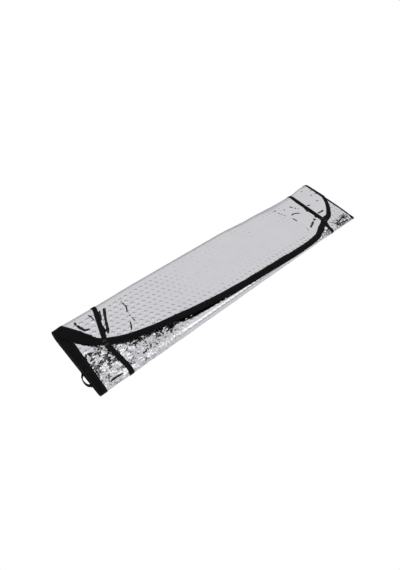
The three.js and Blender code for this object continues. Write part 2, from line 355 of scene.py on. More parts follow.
@dataclass(frozen=True)
class StrapRun:
    """Where a strap crosses the back fold, the curved edge and the front fold."""

    back: float
    seam: Pair
    front: float

    def x_at(self, roll: Roll, y: Array, above: Array | bool) -> Array:
        """Middle of the strap along the packet, at y, over or under it."""
        y = np.clip(y, roll.front, roll.back)
        over = np.interp(
            y, [roll.front, self.seam[1], roll.back], [self.front, self.seam[0], self.back]
        )
        under = np.interp(y, [roll.front, roll.back], [self.front, self.back])
        return np.where(above, over, under)


@dataclass(frozen=True)
class Crease:
    """A pinched line in the foil: up where height is positive, and down where it isn't.

    broken is how far it comes and goes, and the last field how far painted shade blackens its
    crest, both from 0 to 1.
    """

    turn: Turn
    line: tuple[Pair, ...]
    height: float
    width: float = 3.0
    broken: float = 0.0
    # How much painted shade darkens the crest
    painted_crease_black: float = 1.0

    def at(self, x: Array, y: Array) -> Array:
        """Share of its height, from 0 far from it to 1 along its line."""
        best = np.zeros_like(x)
        points = np.array(self.line, float)
        steps = np.linalg.norm(np.diff(points, axis=0), axis=1)
        total, done = steps.sum(), 0.0
        for a, b, step in zip(points[:-1], points[1:], steps):
            way = (b - a) / step
            along = np.clip((x - a[0]) * way[0] + (y - a[1]) * way[1], 0, step)
            gap = np.hypot(x - a[0] - along * way[0], y - a[1] - along * way[1])
            t = (done + along) / total
            taper = np.clip(np.minimum(t, 1 - t) * 6, 0, 1) ** 0.7
            if self.broken:
                beat = Noise(int(total * 7) % 97, self.width * 1.7).at(t * total, 0 * t)
                taper = taper * np.clip(1 + self.broken * (beat * 2 - 0.6), 0, 1.2)
            best = np.maximum(best, taper * np.exp(-((gap / self.width) ** 2) * 2.4))
            done += step
        return best


@dataclass(frozen=True)
class Crumple:
    """A round patch of small sharp dents."""

    turn: Turn
    centre: Pair
    reach: float
    amount: float

    def at(self, x: Array, y: Array) -> Array:
        """The amount, fading to 0 at its reach."""
        away = np.hypot(x - self.centre[0], y - self.centre[1])
        return self.amount * smooth(away, self.reach, self.reach * 0.45)


@dataclass(frozen=True)
class Gather:
    """Pleats that run out from where a strap is sewn to the curved edge."""

    centre: Pair
    reach: float
    pleats: int
    height: float
    seed: int

    def at(self, x: Array, y: Array) -> Array:
        """Height of the pleats, rising outwards and fading to 0 at their reach."""
        dx, dy = x - self.centre[0], y - self.centre[1]
        r, angle = np.hypot(dx, dy), np.arctan2(dy, dx)
        wander = Noise(self.seed, 9).at(x, y) * 0.9 + Noise(self.seed + 5, 24).at(x, y) * 1.4
        wave = np.abs(np.cos(self.pleats * angle / 2 + wander))
        fade = smooth(r, self.reach, self.reach * 0.35) * smooth(r, 2, 9)
        return self.height * (1 - wave**0.6 * 1.6) * fade * r / self.reach


@dataclass
class Relief:
    """All that lifts or dents the sheet away from its smooth roll.

    Each pair of places runs from where something doesn't show to where it shows in full.
    """

    roll: Roll
    straps: tuple[StrapRun, StrapRun]
    creases: tuple[Crease, ...]
    crumples: tuple[Crumple, ...]
    gathers: tuple[Gather, ...]
    lift: float = 0.25
    curl: float = 3.6
    curl_reach: float = 16.0
    curl_left: Pair = (-292.0, -225.0)
    curl_right: Pair = (-5.0, -95.0)
    ripple: float = 0.35
    ripple_reach: float = 8.0
    ripple_ends: Pair = (330.0, 300.0)
    folds: float = 0.16
    dents: float = 0.2
    waves: float = 0.3
    rough_left: Pair = (-150.0, -250.0)
    rough_right: Pair = (215.0, 262.0)
    beside_strap: Pair = (4.6, 6.8)
    end_band: float = 16.0
    flap_lowest: float = -0.55
    under_limits: Pair = (-1.1, 2.6)
    puffed_left: Pair = (-60.0, -230.0)
    calm_right: Pair = (-30.0, 120.0)
    beside_tape: Pair = (40.0, 14.0)
    tape_left: Pair = (220.0, 150.0)

    def turn_masks(self, u: Array) -> dict[Turn, tuple[Array, Array]]:
        """For each turn that shows: which points lie on it, and their y."""
        r = self.roll
        under = (u >= r.spans[4].start) & (u < r.second + r.back - r.front)
        return {Turn.FLAP: (u < r.back + 6, u), Turn.UNDER: (under, r.front + u - r.second)}

    def crease_heights(self, turn: Turn, x: Array, y: Array) -> Array:
        """Height of all creases of one turn together."""
        own = [crease for crease in self.creases if crease.turn is turn]
        return sum(crease.height * crease.at(x, y) for crease in own)

    def strap_hold(self, x: Array, y: Array) -> Array:
        """1 under a strap, fading to 0 beside it."""
        gaps = [np.abs(x - strap.x_at(self.roll, y, True)) for strap in self.straps]
        return 1 - smooth(np.minimum(*gaps), *self.beside_strap)

    def flap_at(self, x: Array, y: Array, inside: Array) -> Array:
        """Displacement of the flap, inside being the distance from its curved edge."""
        back = self.roll.back
        soft = Noise(3, 60).at(x, y) * 0.5 + Noise(4, 26).at(x, y) * 0.22
        inside = np.clip(inside, 0, None)
        lifted = smooth(x, *self.curl_left) * smooth(x, *self.curl_right)
        curl = self.curl * lifted * np.exp(-inside / self.curl_reach)
        ripple = self.ripple * Noise(8, 7).at(x, 0 * x) * np.exp(-inside / self.ripple_reach)
        flap = soft + self.lift + curl + ripple * smooth(np.abs(x), *self.ripple_ends)
        flap = flap + self.crease_heights(Turn.FLAP, x, y)
        flap = flap + sum(gather.at(x, y) for gather in self.gathers)
        flap = np.maximum(flap * (1 - self.strap_hold(x, y)), self.flap_lowest)
        return flap * smooth(y, back + 6, back - 14)

    def under_at(self, x: Array, y: Array, edge: Array) -> Array:
        """Displacement of the turn under the flap, whose curved edge lies at edge."""
        rough = smooth(x, *self.rough_left) + smooth(x, *self.rough_right)
        large = Noise(21, 15).ridges(x, y) - 0.45
        small = Noise(27, 6.5).ridges(x * 0.8 + y * 0.5, y - x * 0.3) - 0.45
        second = (self.folds * large + self.dents * small) * rough
        second = second + self.waves * Noise(31, 18).at(x, y)
        second = second + self.crease_heights(Turn.UNDER, x, y)
        return second * smooth(y, edge + 2, edge - 7) * (1 - self.strap_hold(x, y))

    def at(self, x: Array, u: Array) -> Array:
        """Displacement outwards at x and u, in millimetres."""
        masks = self.turn_masks(u)
        on_flap, flap_y = masks[Turn.FLAP]
        on_under, under_y = masks[Turn.UNDER]
        edge = self.roll.edge(x)
        ends = smooth(self.roll.end - np.abs(x), 0, self.end_band)
        flap = self.flap_at(x, flap_y, u - edge) * (0.25 + 0.75 * ends)
        start = self.roll.spans[4].start
        under = self.under_at(x, under_y, edge) * (0.12 + 0.88 * ends)
        under = np.clip(under * smooth(u, start, start + 9), *self.under_limits)
        return np.where(on_under, under, np.where(on_flap, flap, 0))

    def marks(self, x: Array, u: Array) -> Array:
        """Marks on the foil at each point: painted crease shade, crumpled, dulled by the back fold,
        puffed.
        """
        r = self.roll
        masks = self.turn_masks(u)
        creased, crumpled = np.zeros_like(x), np.zeros_like(x)
        for crease in self.creases:
            on, y = masks[crease.turn]
            # Painted shade along the crease crests
            creased = np.maximum(creased, crease.painted_crease_black * crease.at(x, y) * on)
        for crumple in self.crumples:
            on, y = masks[crumple.turn]
            crumpled = np.maximum(crumpled, crumple.at(x, y) * on)
        on_flap, _ = masks[Turn.FLAP]
        dulled = smooth(u, r.back - 5, r.back + 1) * smooth(u, r.back + 16, r.back + 8)
        left, right = smooth(x, *self.puffed_left), smooth(x, *self.calm_right)
        by_tape = smooth(u - r.edge(x), *self.beside_tape) * smooth(x, *self.tape_left)
        flap = (0.42 + 0.75 * left) * (1 - 0.6 * right) + 0.4 * by_tape
        flap = flap * smooth(u, r.back + 2, r.back - 12)
        under = 0.85 + 0.35 * left + 0.3 * right
        puffed = np.where(on_flap, flap, under) * (1 - 0.5 * crumpled)
        return np.stack([creased, np.clip(crumpled, 0, 1), dulled, np.clip(puffed, 0, 1.3)], 1)


# Meshes


def make_piece(
    name: str,
    points: Array,
    faces: Sequence[Sequence[int]],
    material: Material,
    uv: Array | None = None,
) -> Piece:
    """A smooth-shaded object from points in millimetres.

    Args:
        name: The piece's name.
        points: One row a point.
        faces: Point numbers of each face, counter-clockwise from outside.
        material: Its finish.
        uv: One row a point, in metres, or None.

    Returns:
        The new object, linked to the scene.
    """
    mesh = bpy.data.meshes.new(name)
    mesh.from_pydata((np.asarray(points) * MM).tolist(), [], [list(map(int, f)) for f in faces])
    mesh.polygons.foreach_set("use_smooth", [True] * len(mesh.polygons))
    if uv is not None:
        corner = np.empty(len(mesh.loops), np.int32)
        mesh.loops.foreach_get("vertex_index", corner)
        layer = mesh.uv_layers.new(name="cloth")
        layer.data.foreach_set("uv", np.asarray(uv, np.float32)[corner].ravel())
    mesh.materials.append(material)
    mesh.update()
    piece = bpy.data.objects.new(name, mesh)
    bpy.context.scene.collection.objects.link(piece)
    return piece


def ring_faces(stations: int, around: int, closed: bool = True) -> list[tuple[int, ...]]:
    """Faces of a tube with the same section at each station.

    Args:
        stations: Number of sections.
        around: Points in one section.
        closed: Whether the last section joins the first; if not, both ends are capped.

    Returns:
        Four-cornered faces, and the two caps of an open tube.
    """
    faces: list[tuple[int, ...]] = []
    for k in range(stations if closed else stations - 1):
        a, b = k * around, (k + 1) % stations * around
        for m in range(around):
            n = (m + 1) % around
            faces.append((a + m, b + m, b + n, a + n))
    if not closed:
        last = (stations - 1) * around
        faces.append(tuple(range(around)))
        faces.append(tuple(last + m for m in reversed(range(around))))
    return faces


def fan(chain: Sequence[int], first: int, last: int) -> list[tuple[int, ...]]:
    """Faces that join a fine chain of points to the coarse edge on its left."""
    faces = [(a, b, first) for a, b in zip(chain[:-1], chain[1:])]
    return [*faces, (chain[-1], last, first)]


@dataclass
class FoilSheet:
    """The rolled sheet, fine where it shows and coarse inside the roll."""

    roll: Roll
    relief: Relief
    fine_step: float = 1.25
    middle_step: float = 3.2
    thin_out: int = 5
    thin_under: int = 3
    near: float = 190.0
    flap_rows: int = 91
    shown_steps: tuple[float, ...] = (2.2, 5.0, 2.0, 2.3)
    inner_step: float = 24.0
    fold_parts: int = 8

    def columns(self) -> Array:
        """Places of the mesh's columns along the packet."""
        e, near = self.roll.end, self.near
        parts = [
            spread(-e, -near, self.fine_step),
            spread(-near, near, self.middle_step)[1:-1],
            spread(near, e, self.fine_step),
        ]
        return np.concatenate(parts)

    def fine_rows(self, x: Array) -> Array:
        """Rows that show, as distances along the sheet for each column."""
        r = self.roll
        edge = r.edge(x)[:, None]
        flap = edge + (r.back - edge) * np.linspace(0, 1, self.flap_rows)
        turns = zip(r.spans[2:6], self.shown_steps)
        shared = np.concatenate([span.rows(step)[1:] for span, step in turns])
        return np.concatenate([flap, np.broadcast_to(shared, (len(x), len(shared)))], 1)

    def inner_rows(self) -> Array:
        """Rows of the turns inside the roll."""
        rows: list[float] = []
        for span in self.roll.spans[6:]:
            step = span.length / self.fold_parts if span.radius else self.inner_step
            rows.extend(span.rows(step)[1:])
        return np.array(rows)

    def build(self, material: Material) -> Piece:
        """The sheet as one closed mesh.

        Args:
            material: The foil's finish.

        Returns:
            The piece, with its painted crease shade and its wear in the colour attribute "marks".
        """
        r = self.roll
        x = self.columns()
        n = len(x)
        picks = list(range(0, n - 1, self.thin_out)) + [n - 1]
        fine = self.fine_rows(x)
        rows = fine.shape[1]
        inner = self.inner_rows()
        kept = list(range(0, rows - 1, self.thin_under)) + [rows - 1]
        coarse_x = x[picks]
        under_u = np.concatenate(
            [fine[picks][:, kept], np.broadcast_to(inner, (len(picks), len(inner)))], 1
        )
        top_x = np.repeat(x, rows)
        deep_x = np.repeat(coarse_x, len(inner))
        deep_u = np.tile(inner, len(picks))
        under_x = np.repeat(coarse_x, under_u.shape[1])
        all_x = np.concatenate([top_x, deep_x, under_x])
        all_u = np.concatenate([fine.ravel(), deep_u, under_u.ravel()])
        half = r.sheet / 2
        off = np.full(len(all_x), half)
        off[len(top_x) + len(deep_x) :] = -half
        points = r.place(all_x, all_u, off)

        top = np.arange(n * rows).reshape(n, rows)
        deep = n * rows + np.arange(len(picks) * len(inner)).reshape(len(picks), -1)
        under = n * rows + deep.size + np.arange(under_u.size).reshape(len(picks), -1)
        faces = self.grid(top) + self.grid(deep) + self.grid(under.T)
        chain_rows = [
            np.concatenate([top[picks[k]], deep[k]]) for k in (0, len(picks) - 1)
        ]
        stops = kept + list(range(rows, rows + len(inner)))
        for k in range(len(picks) - 1):
            a, b = picks[k], picks[k + 1]
            faces += fan(list(top[a : b + 1, -1]), deep[k, 0], deep[k + 1, 0])
            faces += fan(list(top[a : b + 1, 0][::-1]), under[k + 1, 0], under[k, 0])
            faces.append((deep[k, -1], deep[k + 1, -1], under[k + 1, -1], under[k, -1]))
        for j in range(len(stops) - 1):
            a, b = stops[j], stops[j + 1]
            faces += fan(list(chain_rows[0][a : b + 1]), under[0, j], under[0, j + 1])
            faces += fan(list(chain_rows[1][a : b + 1][::-1]), under[-1, j + 1], under[-1, j])
        piece = make_piece("foil", points, faces, material, np.stack([all_x, all_u], 1) * MM)
        marks = piece.data.color_attributes.new("marks", "FLOAT_COLOR", "POINT")
        marks.data.foreach_set("color", self.relief.marks(all_x, all_u).astype(np.float32).ravel())
        return piece

    @staticmethod
    def grid(index: Array) -> list[tuple[int, ...]]:
        """Four-cornered faces of a grid of points, first axis to the right, second up."""
        a, b = index[:-1, :-1], index[1:, :-1]
        c, d = index[1:, 1:], index[:-1, 1:]
        return [tuple(f) for f in np.stack([a, b, c, d], -1).reshape(-1, 4)]

    def flat_size(self) -> tuple[float, float, float]:
        """Width, length and area of the cut, in metres."""
        r = self.roll
        x = np.linspace(-r.end, r.end, 400)
        area = float(np.mean(r.last - r.edge(x)) * 2 * r.end)
        return 2 * r.end * MM, float(r.last - r.edge(x).min()) * MM, area * MM * MM


@dataclass
class EdgeBinding:
    """Woven tape folded over the sheet's edge all the way round."""

    roll: Roll
    step: float = 2.6
    narrow: float = 4.5
    corner: float = 8.0
    slim: float = 10.5
    wide: float = 19.0
    widest: float = 20.5
    shown_spans: int = 4
    shown_step: float = 5.0
    hidden_step: float = 12.0
    fold_step: float = 2.0
    fold_parts: int = 8
    inner_step: float = 20.0
    rounding: float = 0.6
    hollow: float = 0.25
    seam_inset: float = 2.4
    seam_least: float = 1.6
    thread_rise: float = 0.2
    seam_ends: Pair = (4.0, 8.0)
    stitch: float = 2.3
    stitch_pitch: float = 3.4

    def end_rows(self) -> Array:
        """Where the sheet's two ends have points, from the back fold inwards."""
        rows: list[float] = []
        for k, span in enumerate(self.roll.spans[2:]):
            shown = k < self.shown_spans
            step = self.shown_step if shown else self.hidden_step
            if span.radius:
                step = self.fold_step if shown else span.length / self.fold_parts
            rows.extend(span.rows(step)[:-1])
        return np.array(rows)

    def outline(self) -> tuple[Array, Array]:
        """The sheet's edge laid flat, and how far the tape reaches in along it.

        Returns:
            Points of x and u in order round the sheet, and the tape's cover at each.
        """
        r, c = self.roll, self.roll.cover
        line = r.edge_line
        run = distances(line)
        curved = points_at(spread(0, run[-1], self.step), run, line)
        rest = self.end_rows()
        to_back = spread(line[-1, 1], r.back, self.shown_step)[1:-1]
        right = np.concatenate([to_back, rest, [r.last]])
        inner = spread(r.end, -r.end, self.inner_step)[1:]
        left = rest[::-1]
        parts = [
            curved,
            np.stack([np.full(len(right), r.end), right], 1),
            np.stack([inner, np.full(len(inner), r.last)], 1),
            np.stack([np.full(len(left), -r.end), left], 1),
        ]
        on_curve = np.interp(
            curved[:, 0] + r.end,
            [0, c, 2 * self.wide, 2 * r.end - 5 * c, 2 * r.end],
            [self.wide, self.widest, c, c, self.corner],
        )
        ends = [line[-1, 1], r.back + self.wide]
        on_right = np.interp(right, ends, [self.corner, self.narrow])
        on_left = np.interp(
            left,
            [r.back, r.back + 2 * c, r.second - 3 * c, r.second, r.second + 7 * c],
            [self.wide, c, c, self.slim, c + 3],
        )
        cover = np.concatenate([on_curve, on_right, np.full(len(inner), c), on_left])
        return np.concatenate(parts), cover

    @staticmethod
    def inward(way: Array) -> Array:
        """Unit directions into the sheet, square to the way along its edge."""
        return np.stack([-way[:, 1], way[:, 0]], 1) / np.linalg.norm(way, axis=1)[:, None]

    def build(self, material: Material) -> Piece:
        """The tape as one closed mesh."""
        r = self.roll
        points, cover = self.outline()
        before = points - np.roll(points, 1, 0)
        after = np.roll(points, -1, 0) - points
        a, b = self.inward(before), self.inward(after)
        mitre = (a + b) / (1 + (a * b).sum(1))[:, None]
        s = np.concatenate([[0], np.cumsum(np.linalg.norm(after, axis=1))[:-1]])
        wander = Noise(51, 14).at(s, 0 * s) * 0.5 + Noise(52, 5).at(s, 0 * s) * 0.15
        puff = 0.1 + 0.09 * Noise(53, 6).at(s, 0 * s)
        flat = np.array([0.0, 0.3, 0.62, 0.86, 1.0])
        bend = np.linspace(0, math.pi, 7)[1:-1]
        none, reach = 0 * s, cover + wander
        section = [
            (t * reach, r.crust + puff * (0 < t < 1) * (1 - 0.5 * t), t * reach) for t in flat[::-1]
        ]
        for angle in bend:
            rounded = none - self.rounding * np.sin(angle)
            section.append((rounded, none + r.crust * np.cos(angle), none))
        section += [(t * reach, none - r.crust, -t * reach) for t in flat]
        section += [(t * reach, none - r.skin, -t * reach) for t in flat[::-1]]
        section += [(none - self.hollow, none, none)]
        section += [(t * reach, none + r.skin, t * reach) for t in flat]
        depth, off, across = (np.stack(part, 1) for part in zip(*section))
        x = points[:, :1] + mitre[:, :1] * depth
        u = points[:, 1:] + mitre[:, 1:] * depth
        limit = r.end + self.rounding
        held = np.clip(x, -limit, limit)
        placed = r.place(held, u, off.ravel())
        placed[:, 0] += (x - held).ravel()
        uv = np.stack([np.repeat(s, depth.shape[1]), across.ravel()], 1) * MM
        faces = [face[::-1] for face in ring_faces(len(points), depth.shape[1])]
        return make_piece("binding", placed, faces, material, uv)


@dataclass
class Strap:
    """One elastic band round the packet."""

    name: str
    roll: Roll
    run: StrapRun
    width: float = 8.5
    thick: float = 0.9
    pinched: float = 0.0
    step: float = 2.0
    clear: float = 0.12
    ripple: float = 0.05
    pinch_front: Pair = (-18.0, 8.0)
    pinch_back: Pair = (66.0, 30.0)
    bar_offset: float = 4.2
    bar_stitches: int = 9
    bar_pitch: float = 0.42
    bar_half: float = 4.0
    bar_rise: float = 0.3

    @cached_property
    def hull(self) -> Array:
        """Convex outline of all that the strap lies on, as rows of y and z."""
        r = self.roll
        u = np.linspace(r.front - 20, r.spans[6].start, 1500)
        rough = r.place(self.run.seam[0], u)
        above = rough[:, 2] > rough[:, 2].max() / 2
        x = self.run.x_at(r, rough[:, 1], above)
        edge = r.edge(x)
        taped = (u >= edge) & (u <= edge + r.cover)
        off = np.where(taped, r.crust, r.sheet / 2)
        cloud = r.place(x, u, off)[u >= edge][:, 1:]
        cloud = cloud[np.lexsort((cloud[:, 1], cloud[:, 0]))]
        outline = []
        for ordered in (cloud, cloud[::-1]):
            chain: list[Array] = []
            for p in ordered:
                while len(chain) > 1:
                    a, b = chain[-2], chain[-1]
                    if (b[0] - a[0]) * (p[1] - a[1]) - (b[1] - a[1]) * (p[0] - a[0]) > 1e-9:
                        break
                    chain.pop()
                chain.append(p)
            outline.extend(chain[:-1])
        return np.array(outline)

    @property
    def ring(self) -> Array:
        """The hull with its first point again at the end."""
        return np.concatenate([self.hull, self.hull[:1]])

    def build(self, material: Material) -> Piece:
        """The band as one closed mesh."""
        run = distances(self.ring)
        count = int(run[-1] / self.step)
        s = np.arange(count) * run[-1] / count
        path = evened(points_at(s, run, self.ring), 2)
        way = np.roll(path, -1, 0) - np.roll(path, 1, 0)
        way /= np.linalg.norm(way, axis=1)[:, None]
        out = np.stack([way[:, 1], -way[:, 0]], 1)
        y, z = path.T
        above = z > (self.hull[:, 1].min() + self.hull[:, 1].max()) / 2
        x = evened(self.run.x_at(self.roll, y, above), 3)
        pinch = self.pinched * above * smooth(y, *self.pinch_front) * smooth(y, *self.pinch_back)
        half = self.width / 2 * (1 - pinch + 0.03 * Noise(61, 9).at(s, 0 * s))
        side, lift = self.profile().T
        ripple = self.ripple * Noise(63, 14).at(s, 0 * s)
        base = self.clear + (1.4 * pinch + ripple * above)[:, None]
        height = base + lift[None] * self.thick * (1 + 1.6 * pinch[:, None])
        height = height + 0.5 * pinch[:, None] * side[None]
        points = np.stack(
            [
                x[:, None] + side[None] * half[:, None],
                path[:, :1] + out[:, :1] * height,
                path[:, 1:] + out[:, 1:] * height,
            ],
            -1,
        )
        across = np.broadcast_to(side[None] * self.width / 2, height.shape)
        uv = np.stack([np.repeat(s, len(side)), across.ravel()], 1) * MM
        faces = ring_faces(count, len(side))
        return make_piece(self.name, points.reshape(-1, 3), faces, material, uv)

    @staticmethod
    def profile() -> Array:
        """Section across the band: rows of side, from -1 to 1, and height, from 0 to 1."""
        top = [(-0.97, 0.75), (-0.85, 1.0), (-0.3, 1.0), (0.3, 1.0), (0.85, 1.0), (0.97, 0.75)]
        low = [(1.0, 0.4), (0.95, 0.05), (0.4, 0.0), (-0.4, 0.0), (-0.95, 0.05), (-1.0, 0.4)]
        return np.array(top + low)

    def length(self) -> float:
        """Length of the band's loop, in metres."""
        return float(distances(self.ring)[-1]) * MM


@dataclass
class HangingLoop:
    """Narrow ribbon on edge at the packet's left end, its feet against the binding."""

    roll: Roll
    span: float = 23.0
    reach: float = 4.8
    ribbon: float = 7.0
    thick: float = 1.6
    foot: float = 2.5
    y: float = -37.0
    z: float = 6.5
    lean: float = 0.8

    def path(self) -> Array:
        """The ribbon's middle line, seen from above."""
        half = self.span / 2
        roll = self.roll
        wall = -roll.length / 2 - roll.slid_left - roll.clear - self.thick / 2
        t = np.linspace(0, math.pi, 41)
        arch = np.stack([wall - self.reach * np.sin(t), half * np.cos(t)], 1)
        foot = np.array([[wall, half + self.foot], [wall, half + self.foot * 0.5]])
        other = foot[::-1] * [1, -1]
        line = np.concatenate([foot, arch, other])
        for _ in range(2):
            line[1:-1] = (line[:-2] + 2 * line[1:-1] + line[2:]) / 4
        return line + [0, self.y]

    def build(self, material: Material) -> Piece:
        """The ribbon as one closed mesh."""
        line = self.path()
        way = np.gradient(line, axis=0)
        way /= np.linalg.norm(way, axis=1)[:, None]
        out = np.stack([-way[:, 1], way[:, 0]], 1)
        s = distances(line)
        profile = Strap.profile()
        height = profile[:, 0] * self.ribbon / 2
        depth = (profile[:, 1] - 0.5) * self.thick
        lean = self.lean * np.clip(np.sin(np.linspace(0, math.pi, len(line))), 0, 1)
        points = np.stack(
            [
                line[:, :1] + out[:, :1] * depth[None],
                line[:, 1:] + out[:, 1:] * depth[None],
                self.z - lean[:, None] + height[None] * np.ones((len(line), 1)),
            ],
            -1,
        )
        uv = np.stack(
            [np.repeat(s, len(height)), np.broadcast_to(height, points.shape[:2]).ravel()], 1
        )
        faces = [face[::-1] for face in ring_faces(len(line), len(height), closed=False)]
        return make_piece("loop", points.reshape(-1, 3), faces, material, uv * MM)


# Where along a stitch its thread has rings, and each ring's rise and width in radii
STITCH_ARCH = ((0, -0.9, 0.5), (0.2, 0.35, 1), (0.8, 0.35, 1), (1, -0.9, 0.5))


@dataclass
class Stitching:
    """Short thread stitches as one piece."""

    name: str
    radius: float = 0.22
    sides: int = 5
    points: list[Array] = field(default_factory=list)
    faces: list[tuple[int, ...]] = field(default_factory=list)

    def add(self, start: Array, stop: Array, up: Array) -> None:
        """Add one stitch from start to stop, arched away from the cloth.

        Args:
            start: Where the thread comes out.
            stop: Where it goes in.
            up: Direction away from the cloth.
        """
        length = np.linalg.norm(stop - start)
        way = (stop - start) / length
        side = np.cross(way, up)
        side /= np.linalg.norm(side)
        base = sum(len(p) for p in self.points)
        rings = []
        for t, rise, wide in STITCH_ARCH:
            centre = start + way * length * t + up * self.radius * rise
            for k in range(self.sides):
                a = 2 * math.pi * k / self.sides
                rings.append(centre + self.radius * wide * (side * math.cos(a) + up * math.sin(a)))
        self.points.append(np.array(rings))
        shell = ring_faces(len(STITCH_ARCH), self.sides, closed=False)
        self.faces.extend(tuple(base + v for v in face[::-1]) for face in shell)

    def build(self, material: Material) -> Piece:
        """All stitches as one mesh."""
        return make_piece(self.name, np.concatenate(self.points), self.faces, material)


def sew_binding(roll: Roll, binding: EdgeBinding, stitches: Stitching) -> None:
    """Add the row of stitches along the tape's inner edge where it shows.

    Against the floor, where the roll is pressed flat, up can't be measured and is down.
    """
    points, cover = binding.outline()
    shown = points[:, 1] < roll.spans[6].start
    run = distances(points)
    first, last = binding.seam_ends
    begin = np.arange(first, run[-1] - last, binding.stitch_pitch)
    at = [points_at(begin + way, run, points) for way in (0, binding.stitch)]
    k = np.minimum(np.searchsorted(run, begin), len(points) - 1)
    inward = binding.inward(points - np.roll(points, 1, 0))[k]
    deep = inward * np.maximum(cover[k] - binding.seam_inset, binding.seam_least)[:, None]
    rise = binding.thread_rise
    start, stop = (roll.place(*(place + deep).T, roll.crust + rise) for place in at)
    up = roll.place(*(at[0] + deep).T, roll.crust + (rise + 1)) - start
    size = np.linalg.norm(up, axis=1)[:, None]
    up = np.where(size > 0.01, up / np.maximum(size, 0.01), (0.0, 0.0, -1.0))
    whole = np.linalg.norm(at[1] - at[0], axis=1) > 2
    for n in np.flatnonzero(shown[k] & whole):
        stitches.add(start[n], stop[n], up[n])


def sew_strap(strap: Strap, stitches: Stitching) -> None:
    """Add the two zigzag bars that hold a strap on the curved edge."""
    x, y = strap.run.seam
    hull = strap.hull
    upper = hull[hull[:, 1] > hull[:, 1].mean()]
    upper = upper[np.argsort(upper[:, 0])]
    half, pitch = strap.bar_half, strap.bar_pitch
    for offset in (-strap.bar_offset, strap.bar_offset):
        for k in range(strap.bar_stitches):
            y0 = y + offset + (k - strap.bar_stitches // 2) * pitch
            z0 = float(np.interp(y0, upper[:, 0], upper[:, 1])) + strap.bar_rise + strap.thick
            flip = half if k % 2 else -half
            start = np.array([x - flip, y0, z0])
            stop = np.array([x + flip, y0 + pitch, z0])
            stitches.add(start, stop, np.array([0.0, 0.0, 1.0]))


# Finishes


class Wire:
    """A number or vector in a material, so that shader maths reads as an expression."""

    def __init__(self, graph: "Graph", socket: bpy.types.NodeSocket | None) -> None:
        """Keep the graph and the output socket, None for a node that has none."""
        self.graph = graph
        self.socket = socket

    def maths(self, operation: str, *others: "Wire | float") -> "Wire":
        """Math node of that operation on this value and the others."""
        return self.graph.node("ShaderNodeMath", {"operation": operation}, self, *others)

    def __add__(self, other: "Wire | float") -> "Wire":
        """Sum."""
        return self.maths("ADD", other)

    __radd__ = __add__

    def __sub__(self, other: "Wire | float") -> "Wire":
        """Difference."""
        return self.maths("SUBTRACT", other)

    def __rsub__(self, other: float) -> "Wire":
        """Difference, number first."""
        return self.graph.node("ShaderNodeMath", {"operation": "SUBTRACT"}, other, self)

    def __mul__(self, other: "Wire | float") -> "Wire":
        """Product."""
        return self.maths("MULTIPLY", other)

    __rmul__ = __mul__

    def __truediv__(self, other: "Wire | float") -> "Wire":
        """Quotient."""
        return self.maths("DIVIDE", other)

    def low(self, other: "Wire | float") -> "Wire":
        """The smaller of the two."""
        return self.maths("MINIMUM", other)

    def high(self, other: "Wire | float") -> "Wire":
        """The larger of the two."""
        return self.maths("MAXIMUM", other)

    def ramp(self, low: float, high: float) -> "Wire":
        """0 below low and 1 above high, smooth between; low may be the larger."""
        settings = {"interpolation_type": "SMOOTHSTEP", "clamp": True}
        if low <= high:
            return self.graph.node("ShaderNodeMapRange", settings, self, low, high, 0.0, 1.0)
        return self.graph.node("ShaderNodeMapRange", settings, self, high, low, 1.0, 0.0)


